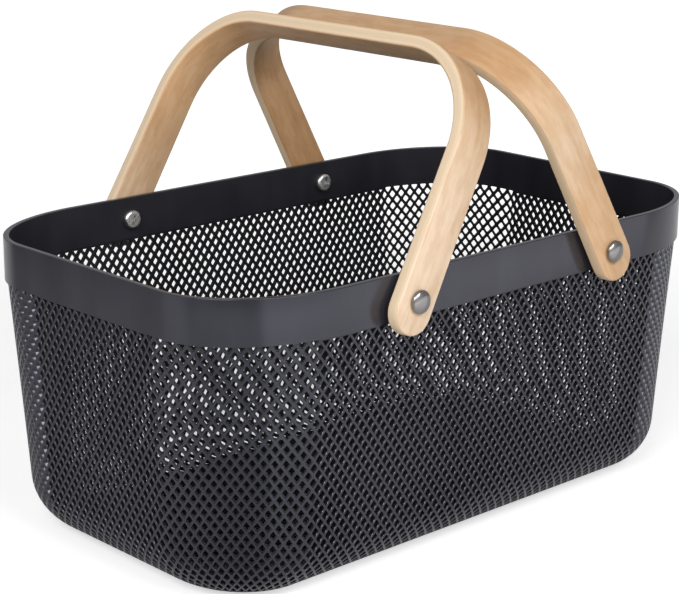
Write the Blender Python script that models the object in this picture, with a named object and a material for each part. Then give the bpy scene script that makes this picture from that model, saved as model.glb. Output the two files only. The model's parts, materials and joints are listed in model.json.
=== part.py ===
"""Mesh storage basket: a one-piece tub moulding and two bentwood handles that swing on steel pivots.

Metres, +Z up, +X along the basket, -Y its front. The origin is under the middle of the floor.
"""

import math

import bmesh
import bpy
from mathutils import Vector

# Driving dimensions of the tub moulding
RIM_LENGTH = 0.390
RIM_WIDTH = 0.237
TUB_HEIGHT = 0.171
RIM_CORNER_X = 0.0765
RIM_CORNER_Y = 0.0557
FOOT_CORNER_X = 0.0533
FOOT_CORNER_Y = 0.0585
END_DRAFT = 0.0072
SIDE_DRAFT = 0.0116
FLOOR_FILLET = 0.0292
BAND_HEIGHT = 0.0248
BAND_STEP = 0.0015
LIP_EDGE = 0.0006

# The net of the walls and the floor, at a coarser pitch than the moulded one
NET_THICKNESS = 0.0018
NET_PITCH_ACROSS = 0.039
NET_PITCH_DOWN = 0.046
FILLET_ROWS = 3
OPEN_SHARE = 0.70
TOP_RIB = 0.0050
FLOOR_PITCH = 0.036
FLOOR_BORDER = 0.0040
RIM_STEPS_PER_COLUMN = 2

# The bentwood handles
PIVOT_SPACING = 0.1565
PIVOT_DROP = 0.0134
HANDLE_REACH = 0.1376
HANDLE_BEND = 0.0605
STRIP_THICKNESS = 0.0076
STRIP_EDGE = 0.0008
LEG_WIDTH = 0.0258
BAR_WIDTH = 0.0236
LEG_LEAN = 0.0059
LEG_TAIL = 0.0058
BEND_STEPS = 12
TIP_STEPS = 6

# The steel pivots
BARREL_RADIUS = 0.0030
BARREL_CLEARANCE = 0.0003
CAP_RADIUS = 0.0062
CAP_EDGE = 0.0007
CAP_DOME = 0.0026
THREAD_RADIUS = 0.0016
THREAD_CLEARANCE = 0.0003
THREAD_LENGTH = 0.0080
BLIND_END = 0.0012
SCREW_HEAD_RADIUS = 0.0058
SCREW_HEAD_HEIGHT = 0.0030
SCREW_HEAD_EDGE = 0.0010
RECESS_SPAN = 0.0062
RECESS_SLOT = 0.0014
RECESS_DEPTH = 0.0018
SPACER_RADIUS = 0.0070
SPACER_THICKNESS = 0.0015
ROUND_STEPS = 20

# Gap between pieces that touch
FIT_GAP = 0.0003

# Sizes that follow from the driving dimensions
BAND_FOOT = TUB_HEIGHT - BAND_HEIGHT
BAND_THICKNESS = BAND_STEP + NET_THICKNESS
PIVOT_HEIGHT = TUB_HEIGHT - PIVOT_DROP
BORE_RADIUS = BARREL_RADIUS + BARREL_CLEARANCE
LEG_SLOPE = LEG_LEAN / HANDLE_REACH
SPACER_SEAT = RIM_WIDTH / 2 + FIT_GAP
LEG_INNER_FACE = SPACER_SEAT + SPACER_THICKNESS + FIT_GAP + SPACER_RADIUS * LEG_SLOPE
LEG_OUTER_FACE = LEG_INNER_FACE + STRIP_THICKNESS * math.hypot(1.0, LEG_SLOPE)
CAP_SEAT = LEG_OUTER_FACE + CAP_RADIUS * LEG_SLOPE + FIT_GAP
INNER_FACE = RIM_WIDTH / 2 - BAND_THICKNESS


def even_count(length, pitch):
    """An even number of half pitches that fills the length best."""
    return 2 * max(1, round(length / pitch))


CORNER_COLUMNS = max(3, round(math.pi * (RIM_CORNER_X + RIM_CORNER_Y) / 2 / NET_PITCH_ACROSS))
LONG_COLUMNS = even_count(RIM_LENGTH - 2 * RIM_CORNER_X, NET_PITCH_ACROSS)
SHORT_COLUMNS = even_count(RIM_WIDTH - 2 * RIM_CORNER_Y, NET_PITCH_ACROSS)
COLUMNS = 2 * LONG_COLUMNS + 2 * SHORT_COLUMNS + 4 * CORNER_COLUMNS
WALL_ROWS = max(2, round((BAND_FOOT - FLOOR_FILLET) / (NET_PITCH_DOWN / 2)))
ROWS = WALL_ROWS + FILLET_ROWS


def lean_at_rest():
    """Angle from upright at which the two handles' crossbars lean against each other."""
    corner_out = HANDLE_REACH - STRIP_EDGE
    corner_across = BAR_WIDTH / 2
    reach = math.hypot(corner_out, corner_across)
    return math.asin((PIVOT_SPACING / 2 - FIT_GAP / 2) / reach) - math.atan2(corner_across, corner_out)


def clear_scene():
    for old in list(bpy.data.objects):
        bpy.data.objects.remove(old)


def material(name, color, roughness, metallic=0.0):
    made = bpy.data.materials.new(name)
    made.use_nodes = True
    shader = made.node_tree.nodes["Principled BSDF"]
    shader.inputs["Base Color"].default_value = (*color, 1.0)
    shader.inputs["Roughness"].default_value = roughness
    shader.inputs["Metallic"].default_value = metallic
    return made


def charcoal_plastic(name):
    return material(name, (0.075, 0.075, 0.086), 0.45)


def pale_wood(name):
    return material(name, (0.72, 0.52, 0.33), 0.5)


def satin_steel(name):
    return material(name, (0.62, 0.62, 0.62), 0.28, 1.0)


def dark_nylon(name):
    return material(name, (0.03, 0.03, 0.03), 0.5)


def finish_mesh(mesh_builder, name, sharp_degrees):
    """Closes, orients and shades a built mesh, and returns it as mesh data."""
    bmesh.ops.remove_doubles(mesh_builder, verts=mesh_builder.verts, dist=1e-7)
    bmesh.ops.recalc_face_normals(mesh_builder, faces=mesh_builder.faces)
    mesh = bpy.data.meshes.new(name)
    mesh_builder.to_mesh(mesh)
    mesh_builder.free()
    mesh.shade_smooth()
    mesh.set_sharp_from_angle(angle=math.radians(sharp_degrees))
    return mesh


def add_object(name, mesh, surface=None):
    made = bpy.data.objects.new(name, mesh)
    bpy.context.scene.collection.objects.link(made)
    if surface:
        mesh.materials.append(surface)
    return made


def cut_with(piece, cutter):
    """Cuts a piece with another object, and leaves the cut as a modifier."""
    cut = piece.modifiers.new("cut_" + cutter.name, "BOOLEAN")
    cut.operation = "DIFFERENCE"
    cut.solver = "EXACT"
    cut.object = cutter


def hide_cutter(cutter):
    cutter.hide_render = True
    cutter.display_type = "WIRE"


def net_sizes(height):
    """Half length, half width and corner radii of the net's outer face at a height."""
    share = height / BAND_FOOT
    half_x = RIM_LENGTH / 2 - BAND_STEP - END_DRAFT * (1 - share)
    half_y = RIM_WIDTH / 2 - BAND_STEP - SIDE_DRAFT * (1 - share)
    corner_x = FOOT_CORNER_X + (RIM_CORNER_X - BAND_STEP - FOOT_CORNER_X) * share
    corner_y = FOOT_CORNER_Y + (RIM_CORNER_Y - BAND_STEP - FOOT_CORNER_Y) * share
    return half_x, half_y, corner_x, corner_y


def outline_point(column, half_x, half_y, corner_x, corner_y):
    """Point of a rounded rectangle, that many net columns anticlockwise from the front right corner."""
    core_x = half_x - corner_x
    core_y = half_y - corner_y
    centres = [(core_x, -core_y), (core_x, core_y), (-core_x, core_y), (-core_x, -core_y)]
    left = column % COLUMNS
    for quarter, centre in enumerate(centres):
        if left <= CORNER_COLUMNS:
            angle = math.radians(90) * (quarter - 1 + left / CORNER_COLUMNS)
            return centre[0] + corner_x * math.cos(angle), centre[1] + corner_y * math.sin(angle)
        left -= CORNER_COLUMNS
        run = LONG_COLUMNS if quarter % 2 else SHORT_COLUMNS
        if left <= run:
            outward = math.radians(90) * quarter
            reach_x = corner_x * math.cos(outward)
            reach_y = corner_y * math.sin(outward)
            goal = centres[(quarter + 1) % 4]
            share = left / run
            x = centre[0] + (goal[0] - centre[0]) * share + reach_x
            y = centre[1] + (goal[1] - centre[1]) * share + reach_y
            return x, y
        left -= run
    return centres[0][0], centres[0][1] - corner_y


def band_point(column, inset, height):
    """Point of the rim band, that far inside its outer face."""
    x, y = outline_point(
        column,
        RIM_LENGTH / 2 - inset,
        RIM_WIDTH / 2 - inset,
        RIM_CORNER_X - inset,
        RIM_CORNER_Y - inset,
    )
    return x, y, height


def net_point(column, row, depth):
    """Point of the net, that deep under its outer face: row 0 is the band's foot, the last is the floor."""
    angle = math.radians(90) * max(0.0, row - WALL_ROWS) / FILLET_ROWS
    level = BAND_FOOT + (FLOOR_FILLET - BAND_FOOT) * min(row, WALL_ROWS) / WALL_ROWS
    height = level - (FLOOR_FILLET - depth) * math.sin(angle)
    inset = FLOOR_FILLET - (FLOOR_FILLET - depth) * math.cos(angle)
    half_x, half_y, corner_x, corner_y = net_sizes(height)
    x, y = outline_point(column, half_x - inset, half_y - inset, corner_x - inset, corner_y - inset)
    return x, y, height


class NetBuilder:
    """Builds the two skins of the net, its gaps and the band above them in one closed mesh."""

    def __init__(self):
        self.mesh = bmesh.new()
        self.corners = {}

    def corner(self, column, row, depth):
        key = (round(column % COLUMNS, 4), round(row, 4), depth)
        if key not in self.corners:
            self.corners[key] = self.mesh.verts.new(net_point(column, row, depth))
        return self.corners[key]

    def skin_faces(self, outlines):
        """The same faces on the outer and the inner skin, each a list of columns and rows."""
        for depth in (0.0, NET_THICKNESS):
            for outline in outlines:
                self.mesh.faces.new([self.corner(column, row, depth) for column, row in outline])

    def gap_walls(self, gap):
        for start, end in zip(gap, gap[1:] + gap[:1]):
            self.mesh.faces.new(
                [
                    self.corner(*start, 0.0),
                    self.corner(*end, 0.0),
                    self.corner(*end, NET_THICKNESS),
                    self.corner(*start, NET_THICKNESS),
                ]
            )

    def full_cell(self, column, row):
        ring = [(column + 1, row), (column, row + 1), (column - 1, row), (column, row - 1)]
        gap = [
            (column + OPEN_SHARE, row),
            (column, row + OPEN_SHARE),
            (column - OPEN_SHARE, row),
            (column, row - OPEN_SHARE),
        ]
        faces = []
        for side in range(4):
            after = (side + 1) % 4
            faces.append([ring[side], ring[after], gap[after], gap[side]])
        self.skin_faces(faces)
        self.gap_walls(gap)

    def top_cell(self, column):
        """Half a cell under the band, with a three-sided gap."""
        rib = TOP_RIB / ((BAND_FOOT - FLOOR_FILLET) / WALL_ROWS)
        right = (column + 1, 0)
        down = (column, 1)
        left = (column - 1, 0)
        gap_right = (column + OPEN_SHARE - rib, rib)
        gap_down = (column, OPEN_SHARE)
        gap_left = (column - OPEN_SHARE + rib, rib)
        steps = 2 * RIM_STEPS_PER_COLUMN
        under_band = [(column - 1 + 2 * step / steps, 0) for step in range(steps + 1)]
        self.skin_faces(
            [
                [right, down, gap_down, gap_right],
                [down, left, gap_left, gap_down],
                under_band + [gap_right, gap_left],
            ]
        )
        self.gap_walls([gap_right, gap_down, gap_left])

    def bottom_cell(self, column):
        """Half a cell at the floor's edge, left plain."""
        up = (column, ROWS - 1)
        middle = (column, ROWS)
        self.skin_faces([[(column - 1, ROWS), up, middle], [up, (column + 1, ROWS), middle]])

    def walls(self):
        for column in range(COLUMNS):
            for row in range(1, ROWS):
                if (column + row) % 2 == 0:
                    self.full_cell(column, row)
            if column % 2 == 0:
                self.top_cell(column)
            if (column + ROWS) % 2 == 0:
                self.bottom_cell(column)

    def band(self):
        """The solid rim band, as rings of faces from the net's outer skin over the lip to its inner skin."""
        count = COLUMNS * RIM_STEPS_PER_COLUMN
        columns = [step / RIM_STEPS_PER_COLUMN for step in range(count)]
        section = [
            (0.0, BAND_FOOT),
            (0.0, TUB_HEIGHT - LIP_EDGE),
            (LIP_EDGE, TUB_HEIGHT),
            (BAND_THICKNESS - LIP_EDGE, TUB_HEIGHT),
            (BAND_THICKNESS, TUB_HEIGHT - LIP_EDGE),
        ]
        rings = [[self.corner(column, 0, 0.0) for column in columns]]
        for inset, height in section:
            rings.append([self.mesh.verts.new(band_point(column, inset, height)) for column in columns])
        rings.append([self.corner(column, 0, NET_THICKNESS) for column in columns])
        for lower, upper in zip(rings, rings[1:]):
            for step in range(count):
                after = (step + 1) % count
                self.mesh.faces.new([lower[step], lower[after], upper[after], upper[step]])

    def floor(self):
        """The flat floor net inside the fillet."""
        gaps = floor_gaps()
        skins = []
        for depth in (0.0, NET_THICKNESS):
            border = [self.corner(column, ROWS, depth) for column in range(COLUMNS)]
            loops = [border]
            for gap in gaps:
                loops.append([self.mesh.verts.new((x, y, depth)) for x, y in gap])
            edges = []
            for loop in loops:
                for start, end in zip(loop, loop[1:] + loop[:1]):
                    edge = self.mesh.edges.get((start, end))
                    edges.append(edge or self.mesh.edges.new((start, end)))
            bmesh.ops.triangle_fill(self.mesh, edges=edges, use_beauty=True, normal=(0, 0, 1))
            skins.append(loops[1:])
        for outer, inner in zip(*skins):
            for step in range(4):
                after = (step + 1) % 4
                self.mesh.faces.new([outer[step], outer[after], inner[after], inner[step]])


def floor_gaps():
    """Diamond gaps of the floor net: the middle one is left out as a plain pad."""
    half = FLOOR_PITCH / 2
    gap = half * OPEN_SHARE
    half_x, half_y, corner_x, corner_y = (size - FLOOR_FILLET for size in net_sizes(0.0))
    count = round(RIM_LENGTH / half)
    gaps = []
    for across in range(-count, count + 1):
        for along in range(-count, count + 1):
            if (across + along) % 2 or (across == 0 and along == 0):
                continue
            x = across * half
            y = along * half
            corners = [(x + gap, y), (x, y + gap), (x - gap, y), (x, y - gap)]
            if all(inside_floor(point, half_x, half_y, corner_x, corner_y) for point in corners):
                gaps.append(corners)
    return gaps


def inside_floor(point, half_x, half_y, corner_x, corner_y):
    """Whether a point lies inside the floor's flat, clear of its border."""
    reach_x = half_x - FLOOR_BORDER
    reach_y = half_y - FLOOR_BORDER
    past_x = abs(point[0]) - (reach_x - corner_x)
    past_y = abs(point[1]) - (reach_y - corner_y)
    if past_x > 0 and past_y > 0:
        return (past_x / corner_x) ** 2 + (past_y / corner_y) ** 2 < 1
    return abs(point[0]) < reach_x and abs(point[1]) < reach_y


def pivot_places():
    """Name, X and outward Y direction of each pivot."""
    for side, x in (("left", -PIVOT_SPACING / 2), ("right", PIVOT_SPACING / 2)):
        for end, outward in (("front", -1), ("back", 1)):
            yield end + "_" + side, x, outward


def pivot_bores():
    """Two long round cutters along the handles' axes, through both long sides and all four legs."""
    builder = bmesh.new()
    for x in (-PIVOT_SPACING / 2, PIVOT_SPACING / 2):
        made = bmesh.ops.create_cone(
            builder,
            cap_ends=True,
            segments=ROUND_STEPS,
            radius1=BORE_RADIUS,
            radius2=BORE_RADIUS,
            depth=2 * CAP_SEAT + 4 * STRIP_THICKNESS,
        )
        turn = Vector((0, 0, 1)).rotation_difference(Vector((0, 1, 0))).to_matrix()
        bmesh.ops.rotate(builder, verts=made["verts"], matrix=turn)
        bmesh.ops.translate(builder, verts=made["verts"], vec=(x, 0, PIVOT_HEIGHT))
    cutter = add_object("pivot_bores", finish_mesh(builder, "pivot_bores", 30))
    hide_cutter(cutter)
    return cutter


def basket_body(bores):
    builder = NetBuilder()
    builder.walls()
    builder.band()
    builder.floor()
    mesh = finish_mesh(builder.mesh, "basket_body", 30)
    body = add_object("basket_body", mesh, charcoal_plastic("charcoal_plastic"))
    cut_with(body, bores)
    return body


def hoop_stations():
    """Half of the hoop's outer line, from the bar's middle to the pivot: point, outward direction, width."""
    slope = math.atan(LEG_SLOPE)
    leg_out = Vector((math.cos(slope), math.sin(slope)))
    bar_end = LEG_OUTER_FACE - LEG_LEAN
    radius = HANDLE_BEND
    centre_v = HANDLE_REACH - radius
    centre_y = bar_end + LEG_SLOPE * radius - radius * math.hypot(1.0, LEG_SLOPE)
    stations = [(Vector((0.0, HANDLE_REACH)), Vector((0.0, 1.0)))]
    for step in range(BEND_STEPS + 1):
        angle = math.radians(90) + (slope - math.radians(90)) * step / BEND_STEPS
        out = Vector((math.cos(angle), math.sin(angle)))
        stations.append((Vector((centre_y, centre_v)) + out * radius, out))
    stations.append((Vector((LEG_OUTER_FACE, 0.0)), leg_out))
    return stations


def strip_ring(builder, point, out, half_width, slide=0.0, tip_share=1.0):
    """Eight points round the strip's section. At a tip the edges and faces draw in by their own radii."""
    along = Vector((out.y, -out.x))
    ring = []
    section = [
        (1, 0, STRIP_EDGE),
        (1, STRIP_EDGE, 0),
        (-1, STRIP_EDGE, 0),
        (-1, 0, STRIP_EDGE),
        (-1, 0, STRIP_THICKNESS - STRIP_EDGE),
        (-1, STRIP_EDGE, STRIP_THICKNESS),
        (1, STRIP_EDGE, STRIP_THICKNESS),
        (1, 0, STRIP_THICKNESS - STRIP_EDGE),
    ]
    for side, narrowing, depth in section:
        radius = half_width - narrowing
        place = point + along * radius * slide - out * depth
        ring.append(builder.verts.new((side * radius * tip_share, place.x, place.y)))
    return ring


def handle_mesh(name):
    """The bent strip: its own Y is the pivots' line and its own Z points at the crossbar."""
    builder = bmesh.new()
    half = hoop_stations()
    rings = []
    point, out = half[-1]
    along = Vector((out.y, -out.x))
    tip = point + along * LEG_TAIL
    for step in range(TIP_STEPS + 1):
        angle = math.radians(90) * step / TIP_STEPS
        rings.append((tip, out, LEG_WIDTH / 2, math.cos(angle), math.sin(angle)))
    for point, out in reversed(half):
        share = max(0.0, min(1.0, point.y / HANDLE_REACH))
        rings.append((point, out, (LEG_WIDTH + (BAR_WIDTH - LEG_WIDTH) * share) / 2, 0.0, 1.0))
    loops = [strip_ring(builder, *ring) for ring in rings]
    mirrored = []
    for loop in loops[:-1]:
        mirrored.append([builder.verts.new((v.co.x, -v.co.y, v.co.z)) for v in loop])
    loops += mirrored[::-1]
    for first, second in zip(loops, loops[1:]):
        for step in range(8):
            after = (step + 1) % 8
            builder.faces.new([first[step], first[after], second[after], second[step]])
    bmesh.ops.remove_doubles(builder, verts=builder.verts, dist=1e-7)
    bmesh.ops.dissolve_degenerate(builder, edges=builder.edges, dist=1e-7)
    return finish_mesh(builder, name, 30)


def handle(name, x, lean, bores):
    made = add_object(name, handle_mesh(name), pale_wood(name + "_wood"))
    made.location = (x, 0, PIVOT_HEIGHT)
    made.rotation_euler = (0, lean, 0)
    cut_with(made, bores)
    return made


def turned_mesh(name, profile):
    """A solid turned about Z from radius and height pairs."""
    builder = bmesh.new()
    line = [builder.verts.new((radius, 0, height)) for radius, height in profile]
    edges = [builder.edges.new(pair) for pair in zip(line, line[1:])]
    if profile[0][0] > 0:
        edges.append(builder.edges.new((line[-1], line[0])))
    bmesh.ops.spin(
        builder,
        geom=line + edges,
        cent=(0, 0, 0),
        axis=(0, 0, 1),
        angle=math.radians(360),
        steps=ROUND_STEPS,
        use_merge=True,
    )
    bmesh.ops.remove_doubles(builder, verts=builder.verts, dist=1e-6)
    bmesh.ops.dissolve_degenerate(builder, edges=builder.edges, dist=1e-7)
    return finish_mesh(builder, name, 40)


def place_on_pivot(piece, x, outward):
    """Puts a turned piece on a pivot's axis, its own +Z pointing outward from the middle plane."""
    piece.location = (x, 0, PIVOT_HEIGHT)
    piece.rotation_euler = (-outward * math.radians(90), 0, 0)


def cap_profile():
    """Domed head, and a barrel with a blind threaded hole that opens inside the rim."""
    top = CAP_SEAT + CAP_EDGE + CAP_DOME
    sphere = (CAP_RADIUS**2 + CAP_DOME**2) / (2 * CAP_DOME)
    sweep = math.asin(CAP_RADIUS / sphere)
    steps = 4
    dome = []
    for step in range(steps + 1):
        angle = sweep * step / steps
        dome.append((sphere * math.sin(angle), top - sphere * (1 - math.cos(angle))))
    hole = THREAD_RADIUS + THREAD_CLEARANCE
    hole_end = INNER_FACE + THREAD_LENGTH + BLIND_END
    return dome + [
        (CAP_RADIUS, CAP_SEAT),
        (BARREL_RADIUS, CAP_SEAT),
        (BARREL_RADIUS, INNER_FACE),
        (hole, INNER_FACE),
        (hole, hole_end),
        (0.0, hole_end),
    ]


def screw_profile():
    """Pan head inside the rim, and a shank in the cap's barrel."""
    seat = INNER_FACE - FIT_GAP
    face = seat - SCREW_HEAD_HEIGHT
    return [
        (0.0, INNER_FACE + THREAD_LENGTH),
        (THREAD_RADIUS, INNER_FACE + THREAD_LENGTH),
        (THREAD_RADIUS, seat),
        (SCREW_HEAD_RADIUS, seat),
        (SCREW_HEAD_RADIUS, face + SCREW_HEAD_EDGE),
        (SCREW_HEAD_RADIUS - SCREW_HEAD_EDGE, face),
        (0.0, face),
    ]


def spacer_profile():
    return [
        (BORE_RADIUS, SPACER_SEAT),
        (SPACER_RADIUS, SPACER_SEAT),
        (SPACER_RADIUS, SPACER_SEAT + SPACER_THICKNESS),
        (BORE_RADIUS, SPACER_SEAT + SPACER_THICKNESS),
    ]


def driver_recess(name, x, outward):
    """Cross-shaped cutter for one screw's head."""
    span = RECESS_SPAN / 2
    slot = RECESS_SLOT / 2
    face = INNER_FACE - FIT_GAP - SCREW_HEAD_HEIGHT
    arm = [(slot, span), (-slot, span), (-slot, slot)]
    outline = []
    for quarter in range(4):
        turn = math.radians(90) * quarter
        for along, across in arm:
            outline.append(
                (
                    along * math.cos(turn) - across * math.sin(turn),
                    along * math.sin(turn) + across * math.cos(turn),
                )
            )
    builder = bmesh.new()
    base = builder.faces.new([builder.verts.new((u, v, face + RECESS_DEPTH)) for u, v in outline])
    grown = bmesh.ops.extrude_face_region(builder, geom=[base])
    moved = [item for item in grown["geom"] if isinstance(item, bmesh.types.BMVert)]
    bmesh.ops.translate(builder, verts=moved, vec=(0, 0, -2 * RECESS_DEPTH))
    cutter = add_object(name, finish_mesh(builder, name, 30))
    place_on_pivot(cutter, x, outward)
    hide_cutter(cutter)
    return cutter


def pivots():
    """Cap, screw and spacer at each of the four pivots."""
    for place, x, outward in pivot_places():
        cap_name = "pivot_cap_" + place
        cap = add_object(cap_name, turned_mesh(cap_name, cap_profile()), satin_steel(cap_name + "_steel"))
        place_on_pivot(cap, x, outward)
        screw_name = "pivot_screw_" + place
        screw = add_object(screw_name, turned_mesh(screw_name, screw_profile()), satin_steel(screw_name + "_steel"))
        place_on_pivot(screw, x, outward)
        cut_with(screw, driver_recess("recess_" + place, x, outward))
        spacer_name = "pivot_spacer_" + place
        spacer = add_object(
            spacer_name, turned_mesh(spacer_name, spacer_profile()), dark_nylon(spacer_name + "_nylon")
        )
        place_on_pivot(spacer, x, outward)


def main():
    clear_scene()
    bores = pivot_bores()
    basket_body(bores)
    lean = lean_at_rest()
    handle("handle_left", -PIVOT_SPACING / 2, lean, bores)
    handle("handle_right", PIVOT_SPACING / 2, -lean, bores)
    pivots()


main()
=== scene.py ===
"""Looks of the mesh storage basket: its moulded net, bentwood handles, pivots and a plain studio."""

import json
import math

import bmesh
import bpy
import numpy as np
from bpy.props import FloatProperty, FloatVectorProperty, IntProperty, PointerProperty
from mathutils import Matrix, Vector


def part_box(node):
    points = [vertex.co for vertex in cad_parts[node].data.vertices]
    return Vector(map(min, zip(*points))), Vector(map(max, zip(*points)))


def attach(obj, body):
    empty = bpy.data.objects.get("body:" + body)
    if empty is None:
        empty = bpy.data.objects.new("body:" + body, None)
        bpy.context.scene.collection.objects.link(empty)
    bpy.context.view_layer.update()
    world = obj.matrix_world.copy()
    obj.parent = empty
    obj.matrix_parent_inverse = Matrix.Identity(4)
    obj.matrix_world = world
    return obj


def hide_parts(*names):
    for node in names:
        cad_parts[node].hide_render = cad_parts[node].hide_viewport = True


bl_info = {
    "name": "Mesh Storage Basket",
    "version": (1, 0, 0),
    "blender": (4, 5, 0),
    "location": "3D View > Sidebar > Basket",
    "description": "Builds the visible pieces of a mesh storage basket with bentwood handles",
    "category": "Object",
}

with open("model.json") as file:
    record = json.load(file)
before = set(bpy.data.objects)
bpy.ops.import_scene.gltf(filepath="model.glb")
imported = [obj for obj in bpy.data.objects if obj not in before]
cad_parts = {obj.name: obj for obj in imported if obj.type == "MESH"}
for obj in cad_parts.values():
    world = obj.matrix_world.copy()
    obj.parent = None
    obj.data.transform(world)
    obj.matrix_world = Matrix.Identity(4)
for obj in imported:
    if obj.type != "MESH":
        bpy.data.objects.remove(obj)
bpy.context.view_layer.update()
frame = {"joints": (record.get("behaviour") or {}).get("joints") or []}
TUB_LOW, TUB_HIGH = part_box("basket_body")
PIVOTS = {joint["child"]: Vector(joint["pos_m"]) for joint in frame["joints"]}
PLACES = ("front_left", "back_left", "front_right", "back_right")
WHITE = (1.0, 1.0, 1.0, 1.0)


# Sizes and colours that a user would change


def size_property(name, description, default):
    return FloatProperty(
        name=name, description=description, default=default, min=0.0, max=1.0, unit="LENGTH", precision=4
    )


def share_property(name, description, default):
    return FloatProperty(
        name=name, description=description, default=default, min=0.0, max=1.0, subtype="FACTOR"
    )


def count_property(name, description, default):
    return IntProperty(name=name, description=description, default=default, min=1)


def power_property(name, description, default):
    return FloatProperty(name=name, description=description, default=default, min=0.0, unit="POWER")


def colour_property(name, description, default):
    return FloatVectorProperty(
        name=name, description=description, default=default, min=0.0, max=1.0, subtype="COLOR"
    )


class TubSettings(bpy.types.PropertyGroup):
    length: size_property("Rim length", "Outside length of the rim band", TUB_HIGH.x - TUB_LOW.x)
    width: size_property("Rim width", "Outside width of the rim band", TUB_HIGH.y - TUB_LOW.y)
    height: size_property("Height", "Floor to rim", TUB_HIGH.z)
    rim_corner_x: size_property("Rim corner, along", "Reach of the rim's corners along the basket", 0.0765)
    rim_corner_y: size_property("Rim corner, across", "Reach of the rim's corners across it", 0.0557)
    foot_corner_x: size_property("Foot corner, along", "The same at the floor, before the fillet", 0.0533)
    foot_corner_y: size_property("Foot corner, across", "The same at the floor, before the fillet", 0.0585)
    end_draft: size_property("End draft", "How far each end leans in from band to floor", 0.0072)
    side_draft: size_property("Side draft", "How far each long side leans in from band to floor", 0.0116)
    fillet: size_property("Foot fillet", "Radius between the walls and the floor", 0.0292)
    band: size_property("Band height", "Height of the smooth rim band", 0.0248)
    band_step: size_property("Band step", "How far the band stands proud of the net", 0.0015)
    wall: size_property("Wall", "Wall under the band, beside its step", 0.0018)
    lip: size_property("Lip rounding", "Rounding of the rim's top edges", 0.0004)
    side_zone: size_property("Side zone", "Half length of the net drawn straight out of a side", 0.1348)
    end_zone: size_property("End zone", "Half width of the net drawn straight out of an end", 0.0516)
    side_columns: count_property("Side columns", "Half pitches from a side's middle", 42)
    end_columns: count_property("End columns", "Half pitches from an end's middle", 17)
    corner_columns: count_property("Corner columns", "Half pitches round a corner", 29)
    rows: count_property("Rows", "Half pitches from the first row to the floor", 40)
    first_row: size_property("First row", "Height of the middle of the first row of holes", 0.14485)
    row_pitch: size_property("Row pitch", "Half pitch of the rows on the walls", 0.00408)
    corner_pitch: size_property("Corner row pitch", "Half pitch of the rows in mid corner", 0.00386)
    flat_hole: share_property("Side hole", "Open share of a cell's width on the walls", 0.70)
    corner_hole: share_property("Corner hole", "Open share of a cell's width in the corners", 0.66)
    net: size_property("Net thickness", "Thickness of the net", 0.0021)
    rib_edge: size_property("Rib edge", "Softened edge of the ribs", 0.00036)
    floor_pitch: size_property("Floor pitch", "Half pitch of the floor's net", 0.0035)
    floor_border: size_property("Floor border", "Plain border round the floor's net", 0.005)
    floor_disc: size_property("Floor disc", "Radius of the plain disc in the middle of the floor", 0.016)


class HandleSettings(bpy.types.PropertyGroup):
    reach: size_property("Reach", "Pivot to the crossbar's outer face", 0.1376)
    bend: size_property("Bend", "Outside radius of the bends", 0.0605)
    thickness: size_property("Thickness", "Thickness of the strip", 0.0076)
    leg_width: size_property("Leg width", "Width of the strip at the pivots", 0.0258)
    bar_width: size_property("Bar width", "Width of the strip at the crossbar", 0.0236)
    foot_face: size_property("Leg face", "Outer face of a leg at its pivot, from the middle plane", 0.1284)
    lean_in: size_property("Lean in", "How far a leg leans in from pivot to crossbar", 0.0059)
    tail: size_property("Tail", "Pivot to the middle of the leg's round end", 0.0058)
    edge: size_property("Edge", "Rounding of the strip's edges", 0.0010)
    ply: size_property("Ply", "Thickness of one layer of the laminate", 0.00127)


class PivotSettings(bpy.types.PropertyGroup):
    cap_radius: size_property("Cap radius", "Radius of the domed caps", 0.0064)
    cap_height: size_property("Cap height", "Height of a cap's head over its seat", 0.0033)
    cap_dome: size_property("Cap dome", "Rise of a cap's dome", 0.0023)
    cap_edge: size_property("Cap edge", "Softened edge round a cap's seat", 0.0002)
    barrel_radius: size_property("Barrel radius", "Radius of the barrel that a leg turns on", 0.0030)
    bore_radius: size_property("Bore radius", "Radius of the bores for the barrels", 0.0033)
    socket_radius: size_property("Socket radius", "Radius of a barrel's hole for its screw", 0.0019)
    socket_depth: size_property("Socket depth", "Depth of a barrel's hole for its screw", 0.0092)
    screw_radius: size_property("Screw radius", "Radius of the screws' pan heads", 0.0058)
    screw_height: size_property("Screw height", "Height of a pan head", 0.0030)
    screw_bulge: size_property("Screw bulge", "Rounding of a pan head", 0.0017)
    shank_radius: size_property("Shank radius", "Radius of the screws' shanks", 0.0016)
    spacer_radius: size_property("Spacer radius", "Outside radius of the spacer rings", 0.0070)
    spacer_edge: size_property("Spacer edge", "Softened edges of the spacer rings", 0.0002)


class FinishSettings(bpy.types.PropertyGroup):
    plastic: colour_property("Plastic", "Charcoal of the moulding", (0.0215, 0.0215, 0.0275))
    # The band's and the net's insides are darker copies of the plastic: painted shade
    plastic_band: colour_property("Band inside", "The band's duller inside", (0.0150, 0.0150, 0.0195))
    plastic_core: colour_property("Net inside", "The net's dull inside", (0.0110, 0.0110, 0.0130))
    wood_streak: colour_property("Wood streaks", "What the grain leaves of a tone", (0.84, 0.75, 0.64))
    wood_edge: colour_property("Edge wood", "Layers that show on the strips' edges", (0.92, 0.72, 0.50))
    steel: colour_property("Steel", "Turned caps", (0.26, 0.255, 0.25))
    plated: colour_property("Plated steel", "Zinc plated screws", (0.62, 0.61, 0.60))
    nylon: colour_property("Nylon", "Spacer rings", (0.02, 0.02, 0.02))


class StudioSettings(bpy.types.PropertyGroup):
    key: power_property("Key light", "Main softbox in watts", 9.0)
    side: power_property("Side light", "Side softbox in watts", 20.0)
    sky: FloatProperty(name="Surroundings", description="Strength of the plain surroundings", default=0.14)


def settings(name):
    return getattr(bpy.context.scene, "basket_" + name)


# Shader nodes


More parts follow.
